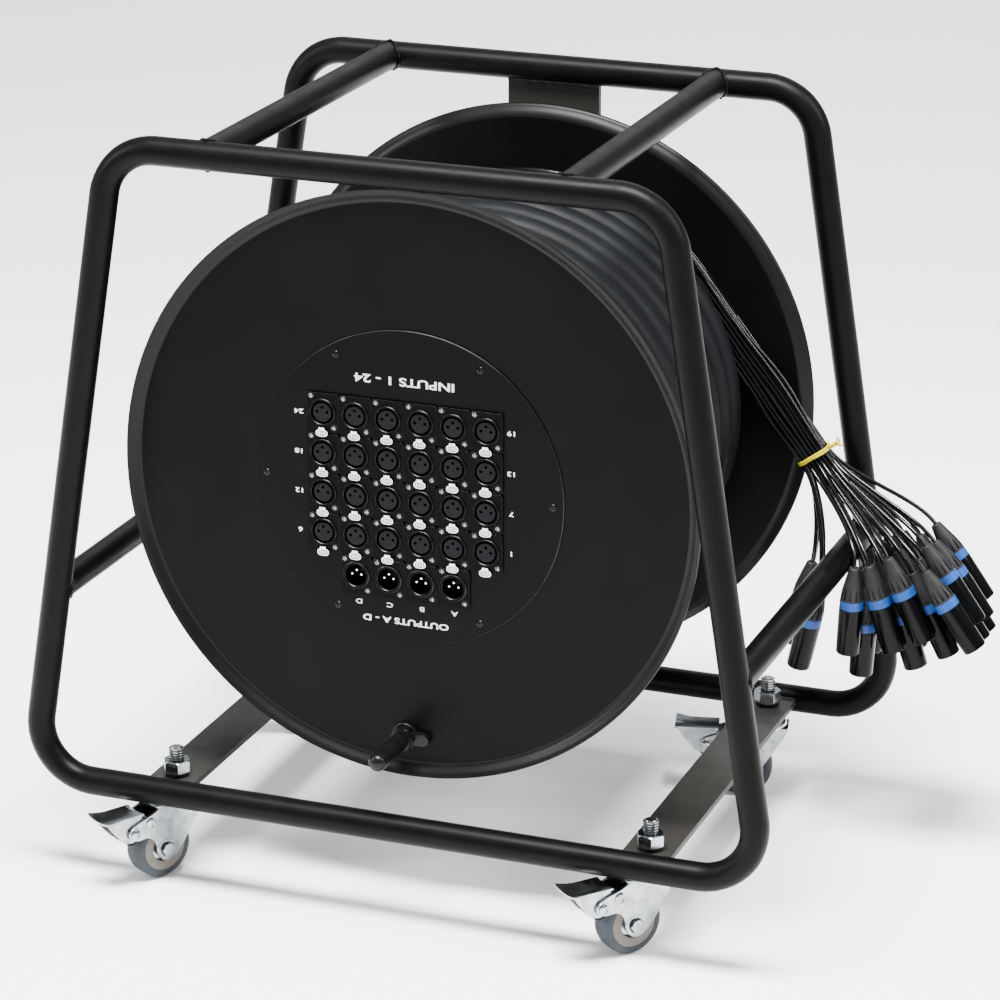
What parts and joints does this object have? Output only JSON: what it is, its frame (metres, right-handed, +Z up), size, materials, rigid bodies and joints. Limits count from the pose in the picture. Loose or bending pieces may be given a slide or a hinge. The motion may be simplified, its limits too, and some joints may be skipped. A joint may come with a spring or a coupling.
{
  "type": "multicore cable drum",
  "caption": "Cable drum with a socket panel, wound with a thick cable whose tails end in connectors, on a braked caster stand of bent tube.",
  "frame": {"origin": "bottom centre of the box round the stand and drum, on the floor under the casters", "axes": "+X to the right and +Y to the rear as the socket panel is faced, +Z up"},
  "size_m": [0.6982, 0.4112, 0.5964],
  "materials": {
    "black_powder": "satin black powder coat",
    "black_sheet": "satin black powder coat on sheet",
    "zinc": "bright zinc plate",
    "tyre": "matte blue-grey rubber",
    "wheel_core": "matte beige-grey plastic",
    "dark_steel": "blackened steel",
    "bronze": "plain bronze",
    "cable_jacket": "matte dark grey jacket",
    "strand": "semi-gloss black jacket",
    "connector": "black shells",
    "tie": "yellow twist tie"
  },
  "bodies": {
    "frame": {"hoop_front": "black_powder", "hoop_rear": "black_powder", "tube_top_left": "black_powder", "tube_top_right": "black_powder", "tube_low_left": "black_powder", "tube_low_right": "black_powder", "bar_left": "black_powder", "bar_right": "black_powder", "support_plate": "black_powder", "axle": "dark_steel", "caster_fl_stem": "zinc", "caster_fr_stem": "zinc", "caster_rl_stem": "zinc", "caster_rr_stem": "zinc", "tail_strands": "strand", "tail_tie": "tie", "tail_connectors_1": "connector", "tail_connectors_2": "connector", "tail_connectors_3": "connector", "tail_connectors_4": "connector", "tail_connectors_5": "connector"},
    "drum": {"flange_front": "black_sheet", "flange_rear": "black_sheet", "core_tube": "black_sheet", "hub": "dark_steel", "bearing_front": "bronze", "bearing_rear": "bronze", "panel": "black_sheet", "socket_row_1": "connector", "socket_row_2": "connector", "socket_row_3": "connector", "socket_row_4": "connector", "plug_row": "connector", "handle_base": "dark_steel", "winding_core": "cable_jacket", "cable_winding": "cable_jacket", "cable_breakout": "cable_jacket", "tail_run": "strand"},
    "handle_grip": {"handle_grip": "connector"},
    "fl_swivel": {"caster_fl_fork": "zinc", "caster_fl_wheel_bolt": "zinc"},
    "fl_wheel": {"caster_fl_tyre": "tyre", "caster_fl_wheel_core": "wheel_core"},
    "fl_pedal": {"caster_fl_pedal": "zinc"},
    "fr_swivel": {"caster_fr_fork": "zinc", "caster_fr_wheel_bolt": "zinc"},
    "fr_wheel": {"caster_fr_tyre": "tyre", "caster_fr_wheel_core": "wheel_core"},
    "fr_pedal": {"caster_fr_pedal": "zinc"},
    "rl_swivel": {"caster_rl_fork": "zinc", "caster_rl_wheel_bolt": "zinc"},
    "rl_wheel": {"caster_rl_tyre": "tyre", "caster_rl_wheel_core": "wheel_core"},
    "rl_pedal": {"caster_rl_pedal": "zinc"},
    "rr_swivel": {"caster_rr_fork": "zinc", "caster_rr_wheel_bolt": "zinc"},
    "rr_wheel": {"caster_rr_tyre": "tyre", "caster_rr_wheel_core": "wheel_core"},
    "rr_pedal": {"caster_rr_pedal": "zinc"}
  },
  "joints": [
    {"name": "drum_spin", "type": "hinge", "parent": "frame", "child": "drum", "pos_m": [0, 0.02644, 0.3308], "axis": [0, 1, 0], "continuous": true},
    {"name": "handle_grip_spin", "type": "hinge", "parent": "drum", "child": "handle_grip", "pos_m": [-0.004, -0.15356, 0.131], "axis": [0, 1, 0], "continuous": true},
    {"name": "fl_swivel", "type": "hinge", "parent": "frame", "child": "fl_swivel", "pos_m": [-0.188, -0.13556, 0.0734], "axis": [0, 0, 1], "continuous": true},
    {"name": "fl_wheel_spin", "type": "hinge", "parent": "fl_swivel", "child": "fl_wheel", "pos_m": [-0.19775, -0.15244, 0.025], "axis": [0.866, -0.5, 0], "continuous": true},
    {"name": "fl_brake", "type": "hinge", "parent": "fl_swivel", "child": "fl_pedal", "pos_m": [-0.21225, -0.17756, 0.045], "axis": [0.866, -0.5, 0], "range_deg": [0, 14]},
    {"name": "fr_swivel", "type": "hinge", "parent": "frame", "child": "fr_swivel", "pos_m": [0.201, -0.13556, 0.0734], "axis": [0, 0, 1], "continuous": true},
    {"name": "fr_wheel_spin", "type": "hinge", "parent": "fr_swivel", "child": "fr_wheel", "pos_m": [0.18873, -0.15071, 0.025], "axis": [0.7771, -0.6293, 0], "continuous": true},
    {"name": "fr_brake", "type": "hinge", "parent": "fr_swivel", "child": "fr_pedal", "pos_m": [0.17048, -0.17325, 0.045], "axis": [0.7771, -0.6293, 0], "range_deg": [0, 14]},
    {"name": "rl_swivel", "type": "hinge", "parent": "frame", "child": "rl_swivel", "pos_m": [-0.188, 0.16664, 0.0734], "axis": [0, 0, 1], "continuous": true},
    {"name": "rl_wheel_spin", "type": "hinge", "parent": "rl_swivel", "child": "rl_wheel", "pos_m": [-0.20397, 0.15546, 0.025], "axis": [0.5736, -0.8192, 0], "continuous": true},
    {"name": "rl_brake", "type": "hinge", "parent": "rl_swivel", "child": "rl_pedal", "pos_m": [-0.22773, 0.13882, 0.045], "axis": [0.5736, -0.8192, 0], "range_deg": [0, 14]},
    {"name": "rr_swivel", "type": "hinge", "parent": "frame", "child": "rr_swivel", "pos_m": [0.201, 0.16664, 0.0734], "axis": [0, 0, 1], "continuous": true},
    {"name": "rr_wheel_spin", "type": "hinge", "parent": "rr_swivel", "child": "rr_wheel", "pos_m": [0.18208, 0.16193, 0.025], "axis": [0.2419, -0.9703, 0], "continuous": true},
    {"name": "rr_brake", "type": "hinge", "parent": "rr_swivel", "child": "rr_pedal", "pos_m": [0.15394, 0.15491, 0.045], "axis": [0.2419, -0.9703, 0], "range_deg": [0, 14]}
  ]
}
